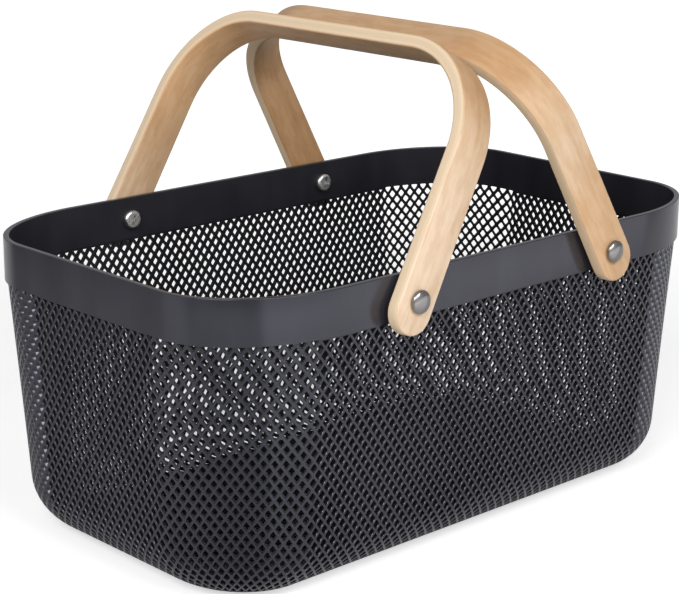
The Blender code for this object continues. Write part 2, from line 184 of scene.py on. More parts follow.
class Value:
    """A socket that can be used in expressions: each operation adds a Math node."""

    def __init__(self, nodes, socket):
        self.nodes = nodes
        self.socket = socket

    def maths(self, operation, *terms):
        return self.nodes.value(
            self.nodes.node("ShaderNodeMath", {"operation": operation}, dict(enumerate(terms)))
        )

    def __add__(self, other):
        return self.maths("ADD", self, other)

    def __radd__(self, other):
        return self.maths("ADD", other, self)

    def __sub__(self, other):
        return self.maths("SUBTRACT", self, other)

    def __rsub__(self, other):
        return self.maths("SUBTRACT", other, self)

    def __mul__(self, other):
        return self.maths("MULTIPLY", self, other)

    def __rmul__(self, other):
        return self.maths("MULTIPLY", other, self)

    def __truediv__(self, other):
        return self.maths("DIVIDE", self, other)

    def __rtruediv__(self, other):
        return self.maths("DIVIDE", other, self)

    def absolute(self):
        return self.maths("ABSOLUTE", self)

    def at_least(self, other):
        return self.maths("MAXIMUM", self, other)


class Nodes:
    """Short ways to add nodes to the tree of a material or of the world."""

    def __init__(self, tree):
        self.tree = tree

    def node(self, kind, choices=None, inputs=None):
        made = self.tree.nodes.new(kind)
        for name, value in (choices or {}).items():
            if name == "stops":
                elements = made.color_ramp.elements
                while len(elements) < len(value):
                    elements.new(1.0)
                for element, (position, colour) in zip(elements, value):
                    element.position = position
                    element.color = rgba(colour)
            else:
                setattr(made, name, value)
        for name, value in (inputs or {}).items():
            self.feed(made.inputs[name], value)
        return made

    def feed(self, socket, value):
        if isinstance(value, Value):
            value = value.socket
        if isinstance(value, bpy.types.NodeSocket):
            self.tree.links.new(value, socket)
        else:
            socket.default_value = value

    def value(self, node, output=0):
        return Value(self, node.outputs[output])

    def vector_maths(self, operation, *terms):
        return self.node("ShaderNodeVectorMath", {"operation": operation}, dict(enumerate(terms)))

    def noise(self, place, scale, detail=3.0, roughness=0.5):
        """Noise with one scale, or with one for each axis."""
        if isinstance(scale, tuple):
            place = self.vector_maths("MULTIPLY", place, scale).outputs[0]
            scale = 1.0
        inputs = {"Vector": place, "Scale": scale, "Detail": detail, "Roughness": roughness}
        return self.value(self.node("ShaderNodeTexNoise", {}, inputs), "Fac")

    def clamp_range(self, value, low, high, to_low=0.0, to_high=1.0):
        """Carries a value from one range to another with soft ends."""
        inputs = {"Value": value, "From Min": low, "From Max": high, "To Min": to_low, "To Max": to_high}
        found = self.node("ShaderNodeMapRange", {"interpolation_type": "SMOOTHSTEP"}, inputs)
        return self.value(found, "Result")

    def mix(self, share, first, second, blend="MIX"):
        choices = {"data_type": "RGBA", "blend_type": blend}
        return self.node("ShaderNodeMix", choices, {0: share, 6: first, 7: second}).outputs[2]

    def multiply(self, share, base, colour, factor=1.0):
        """The base multiplied by a colour, as far as the share says."""
        return self.mix(share, base, rgba(colour, factor), "MULTIPLY")

    def camera_ray(self):
        return self.value(self.node("ShaderNodeLightPath"), "Is Camera Ray")

    def white_where_seen(self, plain, white):
        """The white shader for the camera, mirrors and glass, and the plain one for all other rays."""
        rays = self.node("ShaderNodeLightPath")
        seen = self.value(rays, "Is Camera Ray")
        for name in ("Is Glossy Ray", "Is Transmission Ray"):
            seen = seen.at_least(self.value(rays, name))
        return self.node("ShaderNodeMixShader", {}, {0: seen, 1: plain, 2: white}).outputs[0]


class Surface(Nodes):
    """A material with one Principled shader, and the nodes in front of it."""

    def __init__(self, name, **constants):
        self.material = bpy.data.materials.new(name)
        self.material.use_nodes = True
        super().__init__(self.material.node_tree)
        self.shader = self.tree.nodes["Principled BSDF"]
        self.finish(**constants)

    def local_place(self):
        return self.node("ShaderNodeTexCoord").outputs["Object"]

    def bump(self, height, strength, distance):
        inputs = {"Height": height, "Strength": strength, "Distance": distance}
        return self.node("ShaderNodeBump", {}, inputs).outputs[0]

    def finish(self, **inputs):
        """Sets or links the shader's sockets, which are named in lower case."""
        for name, value in inputs.items():
            self.feed(self.shader.inputs[name.replace("_", " ").title().replace("Ior", "IOR")], value)
        return self.material


def rgba(colour, factor=1.0):
    return (colour[0] * factor, colour[1] * factor, colour[2] * factor, 1.0)


def shared(build):
    """Lets pieces share the material that a function builds under one name."""

    def find(name, *choices):
        if name in bpy.data.materials:
            return bpy.data.materials[name]
        return build(name, *choices)

    return find


@shared
def charcoal_plastic(name, colour, shine, roughness):
    """Satin moulded plastic with a fine spark-eroded grain and soft flow marks."""
    surface = Surface(name, ior=1.5, specular_ior_level=shine, specular_tint=(0.84, 0.84, 1.0, 1.0))
    place = surface.local_place()
    cloud = surface.noise(place, 16.0)
    flow = surface.noise(place, (55.0, 55.0, 9.0), 2.0)
    grain = surface.noise(place, 1500.0, 2.0, 0.6)
    marks = surface.clamp_range(cloud * 0.6 + flow * 0.4, 0.36, 0.64)
    tint = surface.mix(marks, rgba(colour, 0.72), rgba(colour, 1.28))
    rough = surface.clamp_range(cloud, 0.3, 0.7, roughness - 0.03, roughness + 0.03) + (grain - 0.5) * 0.05
    return surface.finish(base_color=tint, roughness=rough, normal=surface.bump(grain, 0.18, 0.00005))


def outside_plastic():
    return charcoal_plastic("moulded_plastic_outside", settings("finish").plastic, 0.6, 0.18)


# Darker copies of the plastic for the insides, whose darker colour is painted shade
def shaded_band_plastic():
    return charcoal_plastic("moulded_plastic_band", settings("finish").plastic_band, 0.2, 0.48)


def shaded_net_plastic():
    return charcoal_plastic("moulded_plastic_core", settings("finish").plastic_core, 0.1, 0.50)


# The veneer's tones, and where each is met along the strips in metres from the middle, front first. Partly
# painted light: the brown at the bends and on the right handle's back leg is painted shade, and the honey
# below the right handle's bend is a painted sheen.
PALE_WOOD = (0.82, 0.62, 0.45)
HONEY_WOOD = (0.73, 0.53, 0.36)
AMBER_WOOD = (0.85, 0.52, 0.28)
TAN_WOOD = (0.66, 0.42, 0.24)
# Brown stands for painted shade at the bends and on the right handle's back leg
SHADE_BROWN_WOOD = (0.56, 0.34, 0.18)
LEFT_TONES_AND_SHADE = (
    (-0.20, PALE_WOOD),
    (-0.16, HONEY_WOOD),
    (-0.12, SHADE_BROWN_WOOD),
    (-0.06, TAN_WOOD),
    (0.06, AMBER_WOOD),
    (0.10, AMBER_WOOD),
    (0.18, TAN_WOOD),
    (0.26, PALE_WOOD),
)
RIGHT_TONES_AND_SHADE = (
    (-0.20, TAN_WOOD),
    (-0.16, HONEY_WOOD),
    (-0.11, SHADE_BROWN_WOOD),
    (-0.06, TAN_WOOD),
    (0.16, TAN_WOOD),
    (0.26, SHADE_BROWN_WOOD),
)
TONE_REACH = 0.26
# Lifts the tones by about what the grain takes from them
TONE_LIFT = (1.09, 1.13, 1.17)
# Each handle's place in the grain, its tones, what painted shade leaves of them on its inner face, and what
# its edges leave of them
VENEERS = {
    "left": (0.0, LEFT_TONES_AND_SHADE, (1.0, 1.0, 1.0), (1.0, 1.0, 1.0)),
    "right": (0.71, RIGHT_TONES_AND_SHADE, (0.95, 0.88, 0.78), (0.92, 0.88, 0.83)),
}


def bent_wood(name, shift, tones_and_shade, inner_shade, edge_tone):
    """Pale laminated wood: grain along the strip, its layers on the edges, with painted shade and a painted
    sheen in the tones along the strip and painted shade on the inner face.
    """
    streaks = settings("finish").wood_streak
    layers = settings("finish").wood_edge
    sizes = settings("handle")
    surface = Surface(name, ior=1.45)
    strip = surface.node("ShaderNodeAttribute", {"attribute_name": "strip_place"}).outputs["Vector"]
    moved = surface.vector_maths("ADD", strip, (shift, shift, shift)).outputs[0]
    parts = surface.node("ShaderNodeSeparateXYZ", {}, {0: strip})
    depth = surface.value(parts, 2)
    share = surface.value(parts, 0) / (2 * TONE_REACH) + 0.5
    stops = [(place / (2 * TONE_REACH) + 0.5, tone_and_shade) for place, tone_and_shade in tones_and_shade]
    # The tones along the strip, with painted shade at the bends and a painted sheen below the right bend
    tone_and_shade = surface.node("ShaderNodeValToRGB", {"stops": stops}, {"Fac": share}).outputs["Color"]

    broad = surface.noise(moved, (9.0, 60.0, 60.0))
    streak = surface.noise(moved, (7.0, 420.0, 200.0), 4.0, 0.6)
    fibre = surface.noise(moved, (90.0, 3600.0, 3600.0), 3.0, 0.65)
    fleck = surface.noise(moved, (110.0, 900.0, 900.0), 2.0)
    mottle = surface.noise(moved, (55.0, 150.0, 150.0), 3.0, 0.6)
    warm = surface.clamp_range(broad * 0.55 + streak * 0.45, 0.38, 0.64)
    face = surface.multiply(1.0, tone_and_shade, TONE_LIFT)
    face = surface.multiply(warm * 0.60, face, streaks)
    face = surface.multiply((fibre - 0.5).absolute() * 0.8, face, streaks, 0.9)
    face = surface.multiply(surface.clamp_range(fleck, 0.66, 0.74, 0.0, 0.35), face, streaks, 0.8)
    face = surface.multiply(surface.clamp_range(mottle, 0.40, 0.64, 0.0, 0.55), face, streaks)
    skin = sizes.edge * 0.95
    inner = surface.clamp_range(depth, sizes.thickness - skin, sizes.thickness - skin / 2)
    # Painted shade: the right handle's inner face darker than its outer face
    face = surface.multiply(inner, face, inner_shade)

    layer = depth / sizes.ply
    glue = surface.clamp_range((layer.maths("FRACT", layer) - 0.5).absolute(), 0.40, 0.49)
    number = layer.maths("FLOOR", layer) + shift
    layer_tone = surface.node("ShaderNodeTexWhiteNoise", {"noise_dimensions": "1D"}, {"W": number})
    along = surface.noise(moved, (28.0, 30.0, 1500.0), 3.0, 0.6)
    ply_tone = surface.value(layer_tone, "Value") * 0.5 + along * 0.3
    edge = surface.mix(ply_tone, rgba(layers, 1.06), rgba(layers, 0.90))
    edge = surface.multiply(glue * 0.30, edge, streaks, 0.75)
    edge = surface.multiply(surface.clamp_range(along, 0.66, 0.74, 0.0, 0.40), edge, streaks, 0.7)
    edge = surface.multiply(1.0, edge, edge_tone)

    inside = surface.clamp_range(depth, sizes.edge * 0.45, skin)
    inside = inside * surface.clamp_range(sizes.thickness - depth, sizes.edge * 0.45, skin)
    rough = surface.clamp_range(fibre, 0.25, 0.75, 0.38, 0.52) + inside * 0.10
    normal = surface.bump(fibre * 0.6 + streak * 0.4 - inside * glue * 0.6, 0.30, 0.00010)
    return surface.finish(base_color=surface.mix(inside, face, edge), roughness=rough, normal=normal)


@shared
def satin_steel(name, colour, smoothest, roughest):
    """Satin steel with faint handling marks."""
    surface = Surface(name, metallic=1.0)
    place = surface.local_place()
    cloud = surface.noise(place, 260.0)
    scratch = surface.noise(place, (2400.0, 2400.0, 260.0), 3.0, 0.6)
    tint = surface.mix(cloud, rgba(colour, 0.92), rgba(colour, 1.06))
    rough = surface.clamp_range(cloud, 0.3, 0.7, smoothest, roughest) + scratch * 0.04
    return surface.finish(base_color=tint, roughness=rough, normal=surface.bump(scratch, 0.10, 0.00003))


def cap_steel():
    return satin_steel("turned_steel", settings("finish").steel, 0.08, 0.14)


def screw_steel():
    return satin_steel("plated_steel", settings("finish").plated, 0.24, 0.34)


@shared
def dark_nylon(name, colour):
    """Plain moulded nylon."""
    surface = Surface(name, ior=1.53)
    grain = surface.noise(surface.local_place(), 1800.0, 2.0)
    tint = surface.mix(grain, rgba(colour, 0.85), rgba(colour, 1.15))
    rough = surface.clamp_range(grain, 0.3, 0.7, 0.45, 0.60)
    return surface.finish(base_color=tint, roughness=rough, normal=surface.bump(grain, 0.2, 0.00004))


def ring_nylon():
    return dark_nylon("ring_nylon", settings("finish").nylon)


# Mesh helpers


OUTSIDE = 0
# Faces that take the darker inside copy of the plastic, painted shade
SHADED_INSIDE = 1
TURNED_SHARP = 40.0


def smooth(mesh, sharp_degrees=50.0):
    """Smooth shading, except over edges that are sharper than that."""
    mesh.shade_smooth()
    mesh.set_sharp_from_angle(angle=math.radians(sharp_degrees))
    return mesh


def mesh_of(builder, name):
    """Mesh data from a builder, which is freed."""
    mesh = bpy.data.meshes.new(name)
    builder.to_mesh(mesh)
    builder.free()
    return mesh


def close_up(builder):
    """Merges points that meet, and turns the faces outward."""
    bmesh.ops.remove_doubles(builder, verts=builder.verts, dist=1e-7)
    bmesh.ops.dissolve_degenerate(builder, edges=builder.edges, dist=1e-8)
    bmesh.ops.recalc_face_normals(builder, faces=builder.faces)


def mesh_from_arrays(name, points, faces, finishes=None):
    """Mesh data from a point array and a list of face arrays, each of one corner count and one finish."""
    mesh = bpy.data.meshes.new(name)
    finishes = finishes or [OUTSIDE] * len(faces)
    finishes = np.concatenate([np.full(len(found), finish) for found, finish in zip(faces, finishes)])
    faces = [found for found in faces if len(found)]
    corners = np.concatenate([found.ravel() for found in faces]).astype(np.int32)
    sizes = np.concatenate([np.full(len(found), found.shape[1]) for found in faces])
    starts = np.concatenate([[0], np.cumsum(sizes)[:-1]]).astype(np.int32)
    mesh.vertices.add(len(points))
    mesh.vertices.foreach_set("co", np.asarray(points, np.float32).ravel())
    mesh.loops.add(len(corners))
    mesh.loops.foreach_set("vertex_index", corners)
    mesh.polygons.add(len(sizes))
    mesh.polygons.foreach_set("loop_start", starts)
    mesh.polygons.foreach_set("material_index", finishes.astype(np.int32))
    mesh.update(calc_edges=True)
    mesh.validate()
    return smooth(mesh)


def between_rings(count, first, second):
    """Corners of the quads between two rings: here and next on the first, next and here on the second."""
    here = np.arange(count)
    after = (here + 1) % count
    return first * count + here, first * count + after, second * count + after, second * count + here


def add_piece(name, mesh, body, materials, node):
    """Puts a piece in the scene, riding on a body and standing for a CAD node."""
    piece = bpy.data.objects.new(name, mesh)
    bpy.context.scene.collection.objects.link(piece)
    for material in materials[len(mesh.materials) :]:
        mesh.materials.append(material)
    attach(piece, body)
    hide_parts(node)


def cut_away(mesh, cutters, sharp_degrees=50.0):
    """The mesh with cutter meshes taken away, as new mesh data."""
    scene = bpy.context.scene
    whole = bpy.data.objects.new("whole", mesh)
    scene.collection.objects.link(whole)
    spare = [whole]
    for cutter_mesh in cutters:
        cutter = bpy.data.objects.new("cutter", cutter_mesh)
        scene.collection.objects.link(cutter)
        spare.append(cutter)
        cut = whole.modifiers.new("cut", "BOOLEAN")
        cut.operation = "DIFFERENCE"
        cut.solver = "EXACT"
        cut.object = cutter
    bpy.context.view_layer.update()
    shaped = whole.evaluated_get(bpy.context.evaluated_depsgraph_get())
    result = bpy.data.meshes.new_from_object(shaped)
    for item in spare:
        bpy.data.objects.remove(item)
    return smooth(result, sharp_degrees)


def turned(name, profile, steps=64):
    """A solid turned about Z from radius and height pairs that start and end on the axis or meet."""
    builder = bmesh.new()
    line = [builder.verts.new((radius, 0.0, height)) for radius, height in profile]
    edges = [builder.edges.new(pair) for pair in zip(line, line[1:])]
    if profile[0][0] > 0:
        edges.append(builder.edges.new((line[-1], line[0])))
    turn = {"cent": (0, 0, 0), "axis": (0, 0, 1), "angle": math.tau, "steps": steps}
    bmesh.ops.spin(builder, geom=line + edges, use_merge=True, **turn)
    close_up(builder)
    return smooth(mesh_of(builder, name), TURNED_SHARP)


def arc(centre, radius, start_degrees, end_degrees, steps):
    """Points of a circular arc in a section."""
    found = []
    for step in range(steps + 1):
        angle = math.radians(start_degrees + (end_degrees - start_degrees) * step / steps)
        found.append((centre[0] + radius * math.cos(angle), centre[1] + radius * math.sin(angle)))
    return found


# The tub's shape


# Columns over which the holes' direction changes from a wall's to a corner's
ZONE_BLEND = 3.0
# How much later the rows turn under in the corners than on the walls
CORNER_LAG = 0.15
LIP_STEPS = 4


class Tub:
    """Where the tub's skins lie. Columns run anticlockwise from the front's middle, rows down the net."""

    def __init__(self):
        self.sizes = settings("tub")
        self.quarter = self.sizes.side_columns + self.sizes.corner_columns + self.sizes.end_columns
        self.columns = 4 * self.quarter
        self.rows = self.sizes.rows
        self.band_foot = self.sizes.height - self.sizes.band

    def outline(self, height, inset):
        """Half sizes and corner radii of the net's outline, as arrays."""
        s = self.sizes
        share = height / self.band_foot
        half_x = s.length / 2 - s.band_step - s.end_draft * (1 - share) - inset
        half_y = s.width / 2 - s.band_step - s.side_draft * (1 - share) - inset
        corner_x = s.foot_corner_x + (s.rim_corner_x - s.band_step - s.foot_corner_x) * share - inset
        corner_y = s.foot_corner_y + (s.rim_corner_y - s.band_step - s.foot_corner_y) * share - inset
        return half_x, half_y, corner_x, corner_y

    def band_outline(self, inset):
        s = self.sizes
        return s.length / 2 - inset, s.width / 2 - inset, s.rim_corner_x - inset, s.rim_corner_y - inset

    @staticmethod
    def across(x, outline):
        """Distance of the outline from the long middle plane at an X."""
        half_x, half_y, corner_x, corner_y = outline
        past = np.clip((x - (half_x - corner_x)) / corner_x, 0, 1)
        return half_y - corner_y + corner_y * np.sqrt(1 - past**2)

    @staticmethod
    def along(y, outline):
        """Distance of the outline from the short middle plane at a Y."""
        half_x, half_y, corner_x, corner_y = outline
        past = np.clip((y - (half_y - corner_y)) / corner_y, 0, 1)
        return half_x - corner_x + corner_x * np.sqrt(1 - past**2)

    @staticmethod
    def on_diagonal(offset, outline):
        """The outline's point at that difference of X and Y."""
        half_x, half_y, corner_x, corner_y = outline
        core_x = half_x - corner_x
        core_y = half_y - corner_y
        reach = np.hypot(corner_x, corner_y)
        lean = np.arctan2(corner_y, corner_x)
        turn = np.arccos(np.clip((offset - (core_x - core_y)) / reach, -1, 1)) - lean
        turn = np.clip(turn, 0, math.pi / 2)
        x = core_x + corner_x * np.cos(turn)
        y = core_y + corner_y * np.sin(turn)
        on_side = offset < core_x - half_y
        on_end = offset > half_x - core_y
        x = np.where(on_side, offset + half_y, np.where(on_end, half_x, x))
        y = np.where(on_side, half_y, np.where(on_end, half_x - offset, y))
        return x, y

    def fold(self, column):
        """Columns folded into the first quarter, and the signs of their X and Y."""
        column = np.mod(column, self.columns)
        left = column > self.columns / 2
        column = np.where(left, self.columns - column, column)
        back = column > self.quarter
        column = np.where(back, 2 * self.quarter - column, column)
        return column, np.where(left, -1.0, 1.0), np.where(back, 1.0, -1.0)

    def outer_place(self, column, outline):
        s = self.sizes
        side = s.side_columns
        end = s.side_columns + s.corner_columns
        x_side = s.side_zone * column / side
        y_end = s.end_zone * (self.quarter - column) / s.end_columns
        first = s.side_zone - self.across(s.side_zone, outline)
        last = self.along(s.end_zone, outline) - s.end_zone
        offset = first + (last - first) * (column - side) / s.corner_columns
        x, y = self.on_diagonal(offset, outline)
        x = np.where(column <= side, x_side, np.where(column >= end, self.along(y_end, outline), x))
        y = np.where(column <= side, self.across(x_side, outline), np.where(column >= end, y_end, y))
        return x, y

    def inner_place(self, column, x, y, outline):
        """Where a hole that starts at an outer point comes out, drawn the way its zone leaves the mould."""
        s = self.sizes
        middle = s.side_columns + s.corner_columns / 2
        from_edge = np.minimum(column - s.side_columns, s.side_columns + s.corner_columns - column)
        share = np.clip((from_edge + ZONE_BLEND / 2) / ZONE_BLEND, 0, 1)
        share = share * share * (3 - 2 * share)
        x_diagonal, y_diagonal = self.on_diagonal(x - y, outline)
        x_straight = np.where(column < middle, x, self.along(y, outline))
        y_straight = np.where(column < middle, self.across(x, outline), y)
        x = x_straight + (x_diagonal - x_straight) * share
        y = y_straight + (y_diagonal - y_straight) * share
        return x, y

    def level(self, column, row, depth):
        """Height and inset of a row, that deep under the outer skin. Row -1 is the band's foot."""
        s = self.sizes
        round_corner = np.clip((column - s.side_columns) / s.corner_columns, 0, 1)
        share = np.sin(math.pi * round_corner) ** 2
        pitch = s.row_pitch + (s.corner_pitch - s.row_pitch) * share
        wall_rows = (s.first_row - s.fillet) / pitch
        down = np.clip((row - wall_rows) / (s.rows - wall_rows), 0, 1)
        angle = math.pi / 2 * down ** (1 + CORNER_LAG * share)
        level = s.first_row - pitch * np.clip(row, 0, wall_rows)
        level = level + (self.band_foot - s.first_row) * np.clip(-row, 0, 1)
        height = level - (s.fillet - depth) * np.sin(angle)
        inset = s.fillet - (s.fillet - depth) * np.cos(angle)
        return height, inset

    def net(self, column, row, depth):
        """Points of the net for arrays of columns and rows, at one depth."""
        folded, sign_x, sign_y = self.fold(np.asarray(column, float))
        row = np.asarray(row, float)
        height, inset = self.level(folded, row, 0.0)
        x, y = self.outer_place(folded, self.outline(height, inset))
        if depth > 0:
            height, inset = self.level(folded, row, depth)
            x, y = self.inner_place(folded, x, y, self.outline(height, inset))
        return np.stack([x * sign_x, y * sign_y, height], -1)

    def band(self, column, inset, height):
        """Points of the band for an array of columns."""
        folded, sign_x, sign_y = self.fold(np.asarray(column, float))
        x, y = self.outer_place(folded, self.outline(self.band_foot, 0.0))
        x, y = self.inner_place(folded, x, y, self.band_outline(inset))
        return np.stack([x * sign_x, y * sign_y, np.full(len(x), height)], -1)


def rounded(corners, cut, steps):
    """The corners of a hole, each cut back by a share of its sides and rounded in steps."""
    found = []
    for before, corner, after in zip(corners[-1:] + corners[:-1], corners, corners[1:] + corners[:1]):
        start = [c + (b - c) * cut for c, b in zip(corner, before)]
        end = [c + (a - c) * cut for c, a in zip(corner, after)]
        for step in range(steps + 1):
            t = step / steps
            first, second, third = ((1 - t) ** 2, 2 * t * (1 - t), t**2)
            places = zip(start, corner, end)
            found.append(tuple(first * s + second * c + third * e for s, c, e in places))
    return found


def bridge(outer, ring):
    """Triangles between two closed loops round one middle. The ring's points come after the outer ones."""
    middle = [sum(point[axis] for point in ring) / len(ring) for axis in (0, 1)]

    def way_round(loop):
        """A loop's points in the order of their turns, and those turns, each with the first once more."""
        turns = [math.atan2(point[1] - middle[1], point[0] - middle[0]) for point in loop]
        first = min(range(len(loop)), key=lambda k: turns[k])
        order = [(first + k) % len(loop) for k in range(len(loop) + 1)]
        return order, [turns[k] for k in order[:-1]] + [turns[first] + math.tau]

    outer_order, outer_way = way_round(outer)
    ring_order, ring_way = way_round(ring)
    size = len(outer)
    found = []
    i = j = 0
    while i < size or j < len(ring):
        ring_done = j == len(ring)
        if ring_done or (i < size and outer_way[i + 1] + outer_way[i] < ring_way[j + 1] + ring_way[j]):
            found.append((outer_order[i], outer_order[i + 1], size + ring_order[j]))
            i += 1
        else:
            found.append((outer_order[i], size + ring_order[j + 1], size + ring_order[j]))
            j += 1
    return found


# More than any net has rows, and than a flat net has columns
ROW_LIMIT = 4096
NO_PERIOD = 1 << 20


class NetPiece:
    """Collects the cells of one piece of net, then makes its closed mesh.

    Columns go right and rows go down for someone who looks at the outer skin, and loops go clockwise there.
    """

    def __init__(self, place, period, thickness, edge, edge_share):
        self.place = place
        self.period = period
        self.thickness = thickness
        self.edge = edge
        self.edge_share = edge_share
        self.points = []
        self.count = 0
        self.faces = []
        self.finishes = []
        self.groups = []

    def add_points(self, points):
        start = self.count
        self.points.append(points.reshape(-1, 3))
        self.count += len(self.points[-1])
        return start

    def add_ring(self, columns, rows, spots, depth):
        across = columns[:, None] + np.array([spot[0] for spot in spots])[None, :]
        down = rows[:, None] + np.array([spot[1] for spot in spots])[None, :]
        start = self.add_points(self.place(across.ravel(), down.ravel(), depth))
        return start + np.arange(across.size).reshape(across.shape)

    def add_faces(self, finish, *corners):
        self.faces.append(np.stack(corners, 1))
        self.finishes.append(finish)

    def add_walls(self, finish, outer, inner):
        """Faces between two rings round a hole."""
        size = outer.shape[1]
        for step in range(size):
            after = (step + 1) % size
            self.add_faces(finish, outer[:, after], outer[:, step], inner[:, step], inner[:, after])

    def add_cells(self, columns, rows, knots, corners, share, rounding, flank=SHADED_INSIDE):
        """Cells of one shape. Knots and the hole's corners are places from the cell's middle."""
        shapes = [
            (0.0, rounded(corners(share + self.edge_share), *rounding)),
            (self.edge, rounded(corners(share), *rounding)),
            (self.thickness, rounded(corners(share), *rounding)),
        ]
        rings = [self.add_ring(columns, rows, spots, depth) for depth, spots in shapes]
        self.add_walls(OUTSIDE, rings[0], rings[1])
        self.add_walls(flank, rings[1], rings[2])
        spots = [(columns + across, rows + down) for across, down in knots]
        self.groups.append((spots, rings, bridge(knots, shapes[1][1])))

    def add_plain(self, columns, rows, knots):
        """Solid cells, filled as a fan from their first knot."""
        spots = [(columns + across, rows + down) for across, down in knots]
        self.groups.append((spots, None, [(0, k, k + 1) for k in range(1, len(knots) - 1)]))

    def key(self, columns, rows):
        column = np.mod(np.rint(columns).astype(np.int64), self.period)
        return column * 2 * ROW_LIMIT + np.rint(rows).astype(np.int64) + ROW_LIMIT

    def make(self, name):
        """Welds the knots, adds both skins and closes the piece's border."""
        columns = np.concatenate([spot[0] for spots, _, _ in self.groups for spot in spots])
        rows = np.concatenate([spot[1] for spots, _, _ in self.groups for spot in spots])
        unique, index = np.unique(self.key(columns, rows), return_index=True)
        columns = columns[index]
        rows = rows[index]
        outer = self.add_points(self.place(columns, rows, 0.0))
        inner = self.add_points(self.place(columns, rows, self.thickness))
        borders = []
        for spots, rings, triangles in self.groups:
            knots = [np.searchsorted(unique, self.key(*spot)) for spot in spots]
            for finish, base, ring in ((OUTSIDE, outer, 0), (SHADED_INSIDE, inner, 2)):
                sheet = [base + knot for knot in knots]
                if rings is not None:
                    sheet += list(rings[ring].T)
                for triangle in triangles:
                    corners = triangle[::-1] if finish == OUTSIDE else triangle
                    self.add_faces(finish, *(sheet[corner] for corner in corners))
            for start, end in zip(knots, knots[1:] + knots[:1]):
                borders.append(np.stack([start, end], 1))
        sides = np.concatenate(borders)
        _, back, counts = np.unique(np.sort(sides, 1), axis=0, return_inverse=True, return_counts=True)
        start, end = sides[counts[back.ravel()] == 1].T
        self.add_faces(SHADED_INSIDE, outer + start, outer + end, inner + end, inner + start)
        self.open_sides = np.stack([columns[start], rows[start], columns[end], rows[end]], 1)
        return mesh_from_arrays(name, np.concatenate(self.points), self.faces, self.finishes)


DIAMOND = [(1, 0), (0, 1), (-1, 0), (0, -1)]
TOP_CELL = [(1, 0), (0, 1), (-1, 0), (-1, -1), (0, -1), (1, -1)]
BOTTOM_CELL = [(1, 0), (0, 0), (-1, 0), (0, -1)]
# How far the corners of the holes are cut back, as a share of their sides, and the steps that round them
WALL_ROUNDING = (0.10, 1)
CORNER_ROUNDING = (0.20, 2)
FLOOR_ROUNDING = (0.14, 1)
FLOOR_HOLE = 0.70


def diamond_hole(share):
    return [(share, 0), (0, share), (-share, 0), (0, -share)]


def flat_top_hole(share):
    """Half a diamond under the short rib that runs along the band on the walls."""
    top = -0.06
    return [(share, top), (0, share), (-share, top)]


def corner_top_hole(share):
    """In the corners the first holes run up to the band."""
    side = share - 0.05
    half_top = 0.62
    top = -0.92
    return [(side, 0), (0, share), (-side, 0), (-half_top, top), (half_top, top)]


def net_cells(piece, tub, first, last):
    """The wall's cells whose middle column lies from first to last."""
    s = tub.sizes
    columns, rows = np.meshgrid(np.arange(first, last + 1), np.arange(0, tub.rows + 1))
    kept = (columns + rows) % 2 == 1
    columns = columns[kept].astype(float)
    rows = rows[kept].astype(float)
    folded, _, _ = tub.fold(columns)
    corner = (folded >= s.side_columns) & (folded <= s.side_columns + s.corner_columns)
    looks = (
        # On the walls the holes' flanks take the darker inside copy, painted shade; in the corners the
        # outside plastic
        (~corner, flat_top_hole, s.flat_hole, WALL_ROUNDING, SHADED_INSIDE),
        (corner, corner_top_hole, s.corner_hole, CORNER_ROUNDING, OUTSIDE),
    )
    for zone, top_hole, share, rounding, flank in looks:
        if not zone.any():
            continue
        for chosen, knots, hole in (
            (zone & (rows > 0) & (rows < tub.rows), DIAMOND, diamond_hole),
            (zone & (rows == 0), TOP_CELL, top_hole),
        ):
            piece.add_cells(columns[chosen], rows[chosen], knots, hole, share, rounding, flank)
    bottom = rows == tub.rows
    piece.add_plain(columns[bottom], rows[bottom], BOTTOM_CELL)


def wall_net(name, tub, first, last):
    s = tub.sizes
    piece = NetPiece(tub.net, tub.columns, s.net, s.rib_edge, s.rib_edge / s.row_pitch)
    net_cells(piece, tub, first, last)
    return piece.make(name)


def floor_cells(tub):
    """Columns and rows of the floor net's cells."""
    s = tub.sizes
    half_x, half_y, corner_x, corner_y = tub.outline(0.0, s.fillet)
    reach = int(s.length / s.floor_pitch)
    columns, rows = np.meshgrid(np.arange(-reach, reach + 1), np.arange(-reach, reach + 1))
    kept = (columns + rows) % 2 == 0
    for across, down in ((1, 0), (-1, 0), (0, 1), (0, -1)):
        x = np.abs(columns + across) * s.floor_pitch
        y = np.abs(rows + down) * s.floor_pitch
        past_x = np.clip((x - (half_x - corner_x)) / (corner_x - s.floor_border), 0, None)
        past_y = np.clip((y - (half_y - corner_y)) / (corner_y - s.floor_border), 0, None)
        kept &= (past_x**2 + past_y**2 < 1) & (x < half_x - s.floor_border) & (y < half_y - s.floor_border)
        kept &= np.hypot(x, y) > s.floor_disc
    return columns[kept].astype(float), rows[kept].astype(float)


def fill_between(loops):
    """Triangles of the flat area between closed rings of 2D edges."""
    builder = bmesh.new()
    corners = {}
    edges = []
    for start, end in loops:
        pair = []
        for spot in (start, end):
            key = (round(spot[0], 7), round(spot[1], 7))
            if key not in corners:
                corners[key] = builder.verts.new((spot[0], spot[1], 0.0))
            pair.append(corners[key])
        edges.append(builder.edges.new(pair))
    bmesh.ops.triangle_fill(builder, edges=edges, use_beauty=True, normal=(0, 0, 1))
    builder.verts.index_update()
    points = np.array([v.co[:] for v in builder.verts])
    faces = np.array([[v.index for v in face.verts] for face in builder.faces])
    builder.free()
    return points, faces


